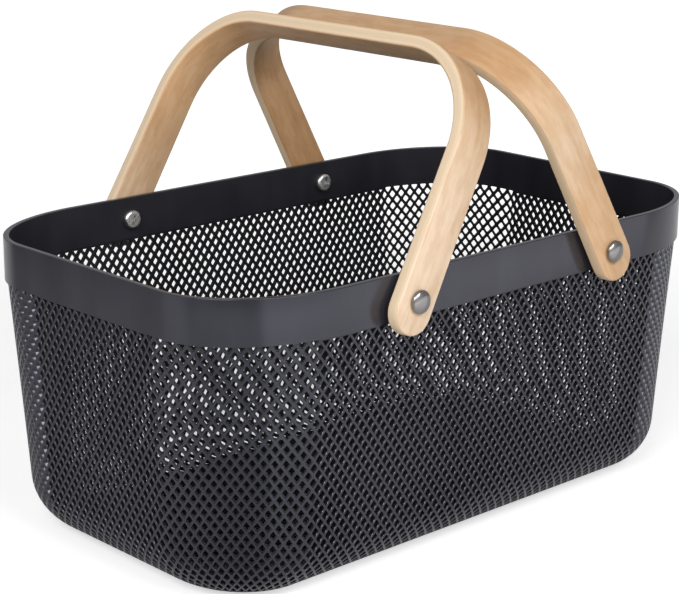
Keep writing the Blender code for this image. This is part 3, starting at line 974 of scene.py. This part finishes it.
def floor_net(name, tub):
    """The floor: a flat net, a plain border and a plain disc, each closed by itself and flush."""
    s = tub.sizes

    def place(column, row, depth):
        x = column * s.floor_pitch
        y = row * s.floor_pitch
        return np.stack([x, y, np.full(len(x), depth)], -1)

    columns, rows = floor_cells(tub)
    piece = NetPiece(place, NO_PERIOD, s.net, s.rib_edge, s.rib_edge / s.floor_pitch)
    piece.add_cells(columns, rows, DIAMOND, diamond_hole, FLOOR_HOLE, FLOOR_ROUNDING)
    net = piece.make(name + "_net")
    sides = piece.open_sides * s.floor_pitch
    outward = np.hypot(sides[:, 0], sides[:, 1]) > 2 * s.floor_disc
    ring = tub.net(np.arange(tub.columns), np.full(tub.columns, tub.rows), 0.0)[:, :2]
    outer_edges = [(tuple(a), tuple(b)) for a, b in zip(ring, np.roll(ring, -1, 0))]
    zigzag = [(tuple(side[:2]), tuple(side[2:])) for side in sides[outward]]
    round_disc = [(tuple(side[:2]), tuple(side[2:])) for side in sides[~outward]]
    meshes = [net]
    for part, loops in (("border", outer_edges + zigzag), ("disc", round_disc)):
        points, faces = fill_between(loops)
        meshes.append(plate(name + "_" + part, points, faces, s.net))
    return join_meshes(name, meshes)


def plate(name, points, faces, thickness):
    """A closed plate on a flat triangulation, from height zero up."""
    edge = {}
    for face in faces:
        a, b, c = (points[k] for k in face)
        turn = (b[0] - a[0]) * (c[1] - a[1]) - (b[1] - a[1]) * (c[0] - a[0])
        corners = list(face) if turn > 0 else list(face)[::-1]
        face[:] = corners
        for start, end in zip(corners, corners[1:] + corners[:1]):
            edge[(start, end)] = edge.get((start, end), 0) + 1
    count = len(points)
    top = points + [0, 0, thickness]
    low = faces[:, ::-1]
    walls = [(a, b, b + count, a + count) for a, b in edge if (b, a) not in edge]
    sides = [low, faces + count, np.array(walls)]
    return mesh_from_arrays(name, np.concatenate([points, top]), sides, [OUTSIDE, SHADED_INSIDE, SHADED_INSIDE])


def join_meshes(name, meshes):
    builder = bmesh.new()
    for mesh in meshes:
        builder.from_mesh(mesh)
        bpy.data.meshes.remove(mesh)
    return smooth(mesh_of(builder, name))


def rim_mesh(tub, bores):
    """The smooth band with its rounded lip, bored for the pivots."""
    s = tub.sizes
    thick = s.band_step + s.wall
    level = s.height - s.lip
    section = [(thick, tub.band_foot), (0.0, tub.band_foot)]
    section += arc((s.lip, level), s.lip, 180, 90, LIP_STEPS)
    section += arc((thick - s.lip, level), s.lip, 90, 0, LIP_STEPS)
    columns = np.arange(0, tub.columns, 0.5)
    points = np.concatenate([tub.band(columns, inset, height) for inset, height in section])
    count = len(section)
    faces = [np.stack(between_rings(len(columns), k, (k + 1) % count), 1) for k in range(count)]
    mesh = mesh_from_arrays("rim_whole", points, faces, [OUTSIDE] * (count - 1) + [SHADED_INSIDE])
    # The band's inner face takes the darker inside copy, painted shade
    for material in (outside_plastic(), shaded_band_plastic()):
        mesh.materials.append(material)
    return cut_away(mesh, [bores])


def bore_mesh():
    """Two long round cutters along the handles' axes."""
    radius = settings("pivot").bore_radius
    reach = settings("tub").width
    profile = [(0, -reach), (radius, -reach), (radius, reach), (0, reach)]
    meshes = []
    for centre in PIVOTS.values():
        mesh = turned("bore", profile, 40)
        mesh.transform(Matrix.Translation(centre) @ Matrix.Rotation(math.pi / 2, 4, "X"))
        meshes.append(mesh)
    return join_meshes("bores", meshes)


# The handles


BAR_STEPS = 8
BEND_STEPS = 30
LEG_STEPS = 8
TIP_STEPS = 14
EDGE_STEPS = 3
# Rounding of the strip's edges in the CAD model
CAD_STRIP_EDGE = 0.0008


class Strip:
    """The bent strip's half path, from the crossbar's middle over the bend to the tip of a leg."""

    def __init__(self):
        s = settings("handle")
        self.sizes = s
        self.slope = math.atan2(s.lean_in, s.reach)
        self.bar_end = s.foot_face - s.lean_in
        self.centre_z = s.reach - s.bend
        tangent = math.tan(self.slope)
        self.centre_y = self.bar_end + tangent * s.bend - s.bend / math.cos(self.slope)
        self.bend_angle = math.pi / 2 - self.slope
        self.bar_length = self.centre_y
        self.bend_length = s.bend * self.bend_angle
        self.leg_start = self.at_angle(self.slope)

    def at_angle(self, angle):
        return (
            self.centre_y + self.sizes.bend * math.cos(angle),
            self.centre_z + self.sizes.bend * math.sin(angle),
        )

    def stations(self):
        """Outer point, outward direction, slide along the strip and share of width for each section."""
        s = self.sizes
        found = []
        for step in range(BAR_STEPS + 1):
            share = step / BAR_STEPS
            found.append(((self.centre_y * share, s.reach), (0.0, 1.0), 0.0, 1.0))
        for step in range(1, BEND_STEPS + 1):
            angle = math.pi / 2 - self.bend_angle * step / BEND_STEPS
            found.append((self.at_angle(angle), (math.cos(angle), math.sin(angle)), 0.0, 1.0))
        out = (math.cos(self.slope), math.sin(self.slope))
        down = (math.sin(self.slope), -math.cos(self.slope))
        for step in range(1, LEG_STEPS + 1):
            share = step / LEG_STEPS
            y = self.leg_start[0] + (s.foot_face - self.leg_start[0]) * share
            z = self.leg_start[1] * (1 - share)
            found.append(((y, z), out, 0.0, 1.0))
        end = (s.foot_face + down[0] * s.tail, down[1] * s.tail)
        for step in range(TIP_STEPS + 1):
            angle = math.pi / 2 * step / TIP_STEPS
            found.append((end, out, math.sin(angle), math.cos(angle)))
        return found

    def section(self):
        """Points round the strip's section: side, how much narrower than half the width, and depth."""
        s = self.sizes
        edge = s.edge
        points = []
        for side, depth_mid, start in ((1, edge, 90), (1, s.thickness - edge, 0)):
            for step in range(EDGE_STEPS + 1):
                angle = math.radians(start - 90 * step / EDGE_STEPS)
                out = edge * math.cos(angle)
                up = edge * math.sin(angle)
                points.append((side, edge - out, depth_mid - up))
        mirrored = [(-side, narrow, depth) for side, narrow, depth in points[::-1]]
        return points + mirrored

    def coordinates(self, point):
        """Along, across and depth of a point of the strip, in metres."""
        s = self.sizes
        y = abs(point.y)
        z = point.z
        if y < self.centre_y and z > 0:
            along = y
            depth = s.reach - z
        else:
            angle = math.atan2(z - self.centre_z, y - self.centre_y)
            if angle > self.slope and z > self.centre_z - s.bend:
                along = self.bar_length + s.bend * (math.pi / 2 - angle)
                depth = s.bend - math.hypot(z - self.centre_z, y - self.centre_y)
            else:
                out = Vector((math.cos(self.slope), math.sin(self.slope)))
                down = Vector((math.sin(self.slope), -math.cos(self.slope)))
                offset = Vector((y - self.leg_start[0], z - self.leg_start[1]))
                along = self.bar_length + self.bend_length + offset.dot(down)
                depth = -offset.dot(out)
        return (math.copysign(along, point.y), point.x, depth)

    def mesh(self, name):
        s = self.sizes
        loops = []
        for (y, z), out, slide, share in self.stations():
            down = (out[1], -out[0])
            high = max(0.0, min(1.0, z / s.reach))
            half = (s.leg_width + (s.bar_width - s.leg_width) * high) / 2
            loop = []
            for side, narrow, depth in self.section():
                radius = half - narrow
                across = y + down[0] * radius * slide - out[0] * depth
                height = z + down[1] * radius * slide - out[1] * depth
                loop.append((side * radius * share, across, height))
            loops.append(loop)
        other = [[(x, -y, z) for x, y, z in loop] for loop in loops[:0:-1]]
        rings = other + loops
        size = len(rings[0])
        points = np.array(rings).reshape(-1, 3)
        faces = []
        for ring in range(len(rings) - 1):
            here, after, far_after, far = between_rings(size, ring, ring + 1)
            faces.append(np.stack([here, far, far_after, after], 1))
        return weld(mesh_from_arrays(name, points, [np.concatenate(faces)]))


def weld(mesh):
    """Closes the tips, where the sections draw in to a line."""
    builder = bmesh.new()
    builder.from_mesh(mesh)
    close_up(builder)
    builder.to_mesh(mesh)
    builder.free()
    return mesh


def rest_lean(body):
    """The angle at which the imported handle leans, from its own box."""
    s = settings("handle")
    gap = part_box("handle_right")[0].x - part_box("handle_left")[1].x
    height = s.reach - CAD_STRIP_EDGE
    half_width = s.bar_width / 2
    lean = math.asin((PIVOTS["right_handle"].x - gap / 2) / math.hypot(height, half_width))
    lean -= math.atan2(half_width, height)
    return lean if body == "left_handle" else -lean


def handle_piece(side, strip, bores):
    body = side + "_handle"
    name = "bentwood_handle_" + side
    mesh = strip.mesh("handle_strip")
    turn = Matrix.Translation(PIVOTS[body]) @ Matrix.Rotation(rest_lean(body), 4, "Y")
    mesh.transform(turn)
    mesh = cut_away(mesh, [bores])
    mesh.name = name
    back = turn.inverted()
    places = mesh.attributes.new("strip_place", "FLOAT_VECTOR", "POINT")
    for vertex, place in zip(mesh.vertices, places.data):
        place.vector = strip.coordinates(back @ vertex.co)
    material = bent_wood("bent_wood_" + side, *VENEERS[side])
    add_piece(name, mesh, body, [material], "handle_" + side)


# The pivots


DOME_STEPS = 16
# Less than one makes a dome fuller than a round one
DOME_POWER = 0.9
BULGE_STEPS = 7
# The crosses of a screw's recess: turn in degrees, span, width of the slots and depth
RECESS_CROSSES = (
    (12, 0.0066, 0.0015, 0.0020),
    (57, 0.0046, 0.0008, 0.0009),
)
# What the taper leaves of a slot's length and width at its bottom
RECESS_TAPER = (0.62, 0.8)
# How far the recess's cutters stand out of the head
CUTTER_OVERLAP = 0.001


def along_pivot(mesh, place):
    """Turns a piece made about Z onto its pivot's axis, with its own +Z outward."""
    body = place.split("_")[1] + "_handle"
    outward = -1 if place.startswith("front") else 1
    mesh.transform(Matrix.Translation(PIVOTS[body]) @ Matrix.Rotation(-outward * math.pi / 2, 4, "X"))
    return mesh


def reach_of(node):
    """Least and greatest distance of a CAD node from the middle plane."""
    low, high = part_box(node)
    return sorted((abs(low.y), abs(high.y)))


def cap_mesh(place):
    """Domed head with a softened edge, and the barrel behind it."""
    s = settings("pivot")
    inner, outer = reach_of("pivot_cap_" + place)
    shoulder = outer - s.cap_dome
    seat = outer - s.cap_height
    bottom = inner + s.socket_depth
    profile = [(0.0, outer)]
    for step in range(1, DOME_STEPS):
        turn = math.pi / 2 * step / DOME_STEPS
        radius = s.cap_radius * math.sin(turn) ** DOME_POWER
        profile.append((radius, shoulder + s.cap_dome * math.cos(turn) ** DOME_POWER))
    profile += [
        (s.cap_radius, shoulder),
        (s.cap_radius, seat + s.cap_edge),
        (s.cap_radius - s.cap_edge, seat),
        (s.barrel_radius, seat),
        (s.barrel_radius, inner),
        (s.socket_radius, inner),
        (s.socket_radius, bottom),
        (0.0, bottom),
    ]
    return along_pivot(turned("pivot_cap", profile), place)


def recess_slot(face, turn, span, width, depth):
    """A cutter for one slot of the recess, which tapers into the head from outside its face."""
    builder = bmesh.new()
    bmesh.ops.create_cube(builder, size=1.0)
    for vertex in builder.verts:
        deep = vertex.co.z > 0
        taper = RECESS_TAPER if deep else (1.0, 1.0)
        vertex.co.x *= span * taper[0]
        vertex.co.y *= width * taper[1]
        vertex.co.z = face + depth if deep else face - CUTTER_OVERLAP
    mesh = mesh_of(builder, "recess")
    mesh.transform(Matrix.Rotation(math.radians(turn), 4, "Z"))
    return mesh


def cross_recess(face):
    """Cutters for a tapered cross with a smaller second cross between its arms."""
    return [
        recess_slot(face, turn + quarter, span, width, depth)
        for turn, span, width, depth in RECESS_CROSSES
        for quarter in (0, 90)
    ]


def screw_mesh(place):
    """Pan head with its recess towards the inside of the tub, and a shank."""
    s = settings("pivot")
    face, end = reach_of("pivot_screw_" + place)
    seat = face + s.screw_height
    profile = [(0.0, end), (s.shank_radius, end), (s.shank_radius, seat), (s.screw_radius, seat)]
    centre = (s.screw_radius - s.screw_bulge, face + s.screw_bulge)
    profile += arc(centre, s.screw_bulge, 0, -90, BULGE_STEPS)
    profile.append((0.0, face))
    mesh = cut_away(turned("pivot_screw", profile), cross_recess(face), TURNED_SHARP)
    return along_pivot(mesh, place)


def spacer_mesh(place):
    """Plain ring with softened edges."""
    s = settings("pivot")
    inner, outer = reach_of("pivot_spacer_" + place)
    edge = s.spacer_edge
    profile = [
        (s.bore_radius, inner + edge),
        (s.bore_radius + edge, inner),
        (s.spacer_radius - edge, inner),
        (s.spacer_radius, inner + edge),
        (s.spacer_radius, outer - edge),
        (s.spacer_radius - edge, outer),
        (s.bore_radius + edge, outer),
        (s.bore_radius, outer - edge),
    ]
    return along_pivot(turned("pivot_spacer", profile, 56), place)


# Operators


class BASKET_OT_rim(bpy.types.Operator):
    """Build the smooth rim band with its lip and pivot bores"""

    bl_idname = "basket.rim"
    bl_label = "Rim Band"

    def execute(self, context):
        mesh = rim_mesh(Tub(), bore_mesh())
        mesh.name = "rim_band"
        add_piece("rim_band", mesh, "basket", [], "basket_body")
        return {"FINISHED"}


class BASKET_OT_walls(bpy.types.Operator):
    """Build the fine diamond net of the four walls and their corners"""

    bl_idname = "basket.walls"
    bl_label = "Wall Net"

    def execute(self, context):
        tub = Tub()
        side = tub.sizes.side_columns
        half = 2 * tub.quarter
        # The second finish, for the net's inside, is a darker copy: painted shade
        finishes = [outside_plastic(), shaded_net_plastic()]
        spans = {
            "net_front": (1 - side, side - 1),
            "net_right_end": (side, half - side),
            "net_back": (half - side + 1, half + side - 1),
            "net_left_end": (half + side, 2 * half - side),
        }
        for name, (first, last) in spans.items():
            mesh = wall_net(name, tub, first, last)
            add_piece(name, mesh, "basket", finishes, "basket_body")
        return {"FINISHED"}


class BASKET_OT_floor(bpy.types.Operator):
    """Build the floor net with its border and disc"""

    bl_idname = "basket.floor"
    bl_label = "Floor Net"

    def execute(self, context):
        mesh = floor_net("net_floor", Tub())
        # The second finish, for the net's inside, is a darker copy: painted shade
        finishes = [outside_plastic(), shaded_net_plastic()]
        add_piece("net_floor", mesh, "basket", finishes, "basket_body")
        return {"FINISHED"}


class BASKET_OT_handles(bpy.types.Operator):
    """Build the two bentwood handles"""

    bl_idname = "basket.handles"
    bl_label = "Bentwood Handles"

    def execute(self, context):
        strip = Strip()
        bores = bore_mesh()
        for side in VENEERS:
            handle_piece(side, strip, bores)
        return {"FINISHED"}


class BASKET_OT_pivots(bpy.types.Operator):
    """Build the caps, screws and spacers of the four pivots"""

    bl_idname = "basket.pivots"
    bl_label = "Pivots"

    def execute(self, context):
        kinds = (
            ("cap", cap_mesh, "satin_steel", cap_steel()),
            ("screw", screw_mesh, "satin_steel", screw_steel()),
            ("spacer", spacer_mesh, "dark_nylon", ring_nylon()),
        )
        for place in PLACES:
            for kind, build, slot, material in kinds:
                name = kind + "_" + place
                add_piece(name, build(place), "basket", [material], "pivot_" + name)
        return {"FINISHED"}


# The softboxes: place, what they face, and size
KEY_BOX = ((-0.1, -1.15, 0.88), (0, 0, 0.1), (0.9, 0.7))
SIDE_BOX = ((-1.4, -0.8, 1.2), (0, 0, 0.15), (1.0, 0.7))
# The photograph's camera, fitted to the rim, the band, the floor line and the pivots that show in it
CAMERA_DEGREES = {"yaw": -43.169, "pitch": 15.732, "roll": 0.3424}
CAMERA_AIM = (-0.001055, 0.013472, 0.115681)
CAMERA_DISTANCE = 1.156149
CAMERA_FOCAL_PIXELS = 1936.453
PHOTO_WIDTH_PIXELS = 679
SENSOR_MILLIMETRES = 36.0


def softbox(name, place, target, size, watts):
    light = bpy.data.lights.new(name, "AREA")
    light.shape = "RECTANGLE"
    light.size, light.size_y = size
    light.energy = watts
    lamp = bpy.data.objects.new(name, light)
    bpy.context.scene.collection.objects.link(lamp)
    lamp.location = place
    lamp.rotation_euler = (Vector(target) - Vector(place)).to_track_quat("-Z", "Y").to_euler()


def view_camera():
    """The camera at the photograph's place, from its fitted angles."""
    yaw, pitch, roll = (math.radians(angle) for angle in CAMERA_DEGREES.values())
    back = Vector((math.sin(yaw) * math.cos(pitch), -math.cos(yaw) * math.cos(pitch), math.sin(pitch)))
    right = Vector((math.cos(yaw), math.sin(yaw), 0.0))
    up = back.cross(right)
    turned_right = right * math.cos(roll) + up * math.sin(roll)
    turned_up = up * math.cos(roll) - right * math.sin(roll)
    matrix = Matrix((turned_right, turned_up, back)).transposed().to_4x4()
    matrix.translation = Vector(CAMERA_AIM) + back * CAMERA_DISTANCE
    data = bpy.data.cameras.new("view")
    data.sensor_width = SENSOR_MILLIMETRES
    data.lens = CAMERA_FOCAL_PIXELS / PHOTO_WIDTH_PIXELS * SENSOR_MILLIMETRES
    data.clip_start = 0.05
    camera = bpy.data.objects.new("view", data)
    bpy.context.scene.collection.objects.link(camera)
    camera.matrix_world = matrix
    bpy.context.scene.camera = camera


# Fades are the two ends of a range and the value at each.
# The side on which mirrors see the surroundings white, and how they fade from greyer towards it
ROOM_SIDE = (-0.6, -0.8, 0.0)
ROOM_FADE = (0.0, 0.7, 0.45, 1.0)
# What the paper shows besides the light that falls on it, by distance from the middle
PAPER_FADE = (0.45, 1.1, 0.59, 0.96)
# How much of that mirrors see, by the same distance: less near the object, a painted shade in what the
# plastic mirrors
MIRRORED_PAINTED_SHADE = (0.15, 0.55, 0.25, 1.0)
# The directions, round a place under the near corner, in which mirrors see the paper's glow, painted
# reflections that give the plastic its sheen:
# the middle, the half width and the soft edge in degrees, and the share of it that they see
WHITE_CENTRE = (-0.135, -0.118)
PAINTED_SHEEN_PANELS = (
    (-71, 37, 6, 1.0),
    (40, 60, 20, 0.5),
    (155, 5, 25, 0.5),
)
FLOOR_HALF = 8.0
FLOOR_DROP = 0.0004


def surroundings():
    """Plain pale surroundings. The camera sees them white, mirrors white on the left and greyer right."""
    world = bpy.data.worlds.new("studio")
    bpy.context.scene.world = world
    world.use_nodes = True
    world.node_tree.nodes.clear()
    nodes = Nodes(world.node_tree)
    way = nodes.node("ShaderNodeTexCoord").outputs["Generated"]
    toward = nodes.value(nodes.vector_maths("DOT_PRODUCT", way, ROOM_SIDE), "Value")
    strength = nodes.clamp_range(toward, *ROOM_FADE).at_least(nodes.camera_ray())
    soft = nodes.node("ShaderNodeBackground", {}, {0: WHITE, 1: settings("studio").sky})
    white = nodes.node("ShaderNodeBackground", {}, {0: WHITE, 1: strength})
    nodes.node("ShaderNodeOutputWorld", {}, {0: nodes.white_where_seen(soft.outputs[0], white.outputs[0])})


def floor_paper():
    """White paper that keeps the object's shadow. Mirrors see it whiter on some sides than on others, a
    glow for them alone that gives the plastic's sheen as painted reflections, dimmed near the object as
    painted shade.
    """
    surface = Surface("studio_paper", base_color=(0.80, 0.80, 0.80, 1.0), roughness=0.9)
    place = surface.local_place()
    parts = surface.node("ShaderNodeSeparateXYZ", {}, {0: place})
    across = surface.value(parts, 0) - WHITE_CENTRE[0]
    ahead = surface.value(parts, 1) - WHITE_CENTRE[1]
    direction = ahead.maths("ARCTAN2", ahead, across) * math.degrees(1)
    distance = surface.value(surface.vector_maths("LENGTH", place), "Value")
    white = surface.clamp_range(distance, *PAPER_FADE)
    mirrored = 0.0
    # Painted reflections: panels of glow on the paper that only mirrors see
    for middle, half_width, edge, share in PAINTED_SHEEN_PANELS:
        apart = (direction - middle).absolute()
        mirrored = surface.clamp_range(apart, half_width, half_width + edge, share, 0.0) + mirrored
    # Painted shade: mirrors see less of the glow near the object
    mirrored = mirrored * white * surface.clamp_range(distance, *MIRRORED_PAINTED_SHADE)
    colour = surface.mix(surface.camera_ray(), mirrored, white)
    glow = surface.node("ShaderNodeEmission", {}, {"Color": colour, "Strength": 1.0})
    plain = surface.shader.outputs[0]
    lit = surface.node("ShaderNodeAddShader", {}, {0: plain, 1: glow.outputs[0]})
    shown = surface.white_where_seen(plain, lit.outputs[0])
    surface.feed(surface.tree.nodes["Material Output"].inputs[0], shown)
    return surface.material


class BASKET_OT_stage(bpy.types.Operator):
    """Set up the floor, the lights, the surroundings and the camera"""

    bl_idname = "basket.stage"
    bl_label = "Stage"

    def execute(self, context):
        scene = context.scene
        scene.view_settings.view_transform = "Standard"
        builder = bmesh.new()
        bmesh.ops.create_grid(builder, x_segments=1, y_segments=1, size=FLOOR_HALF)
        mesh = mesh_of(builder, "studio_floor")
        floor = bpy.data.objects.new("studio_floor", mesh)
        scene.collection.objects.link(floor)
        floor.location.z = -FLOOR_DROP
        mesh.materials.append(floor_paper())
        studio = settings("studio")
        softbox("key", *KEY_BOX, studio.key)
        softbox("side", *SIDE_BOX, studio.side)
        surroundings()
        view_camera()
        return {"FINISHED"}


class BASKET_PT_panel(bpy.types.Panel):
    """Lists the pieces of the basket and their sizes"""

    bl_idname = "BASKET_PT_panel"
    bl_label = "Mesh Storage Basket"
    bl_space_type = "VIEW_3D"
    bl_region_type = "UI"
    bl_category = "Basket"

    def draw(self, context):
        for operator in OPERATORS:
            self.layout.operator(operator.bl_idname)
        for group in GROUPS:
            box = self.layout.box()
            box.label(text=group.capitalize())
            found = settings(group)
            for name in found.__annotations__:
                box.prop(found, name)


GROUPS = {
    "tub": TubSettings,
    "handle": HandleSettings,
    "pivot": PivotSettings,
    "finish": FinishSettings,
    "studio": StudioSettings,
}
OPERATORS = (
    BASKET_OT_rim,
    BASKET_OT_walls,
    BASKET_OT_floor,
    BASKET_OT_handles,
    BASKET_OT_pivots,
    BASKET_OT_stage,
)


def register():
    for found in (*GROUPS.values(), *OPERATORS, BASKET_PT_panel):
        bpy.utils.register_class(found)
    for name, group in GROUPS.items():
        setattr(bpy.types.Scene, "basket_" + name, PointerProperty(type=group))


def unregister():
    for name in GROUPS:
        delattr(bpy.types.Scene, "basket_" + name)
    for found in (BASKET_PT_panel, *OPERATORS, *GROUPS.values()):
        bpy.utils.unregister_class(found)


def main():
    register()
    bpy.ops.basket.rim()
    bpy.ops.basket.walls()
    bpy.ops.basket.floor()
    bpy.ops.basket.handles()
    bpy.ops.basket.pivots()
    bpy.ops.basket.stage()


if __name__ == "__main__":
    main()
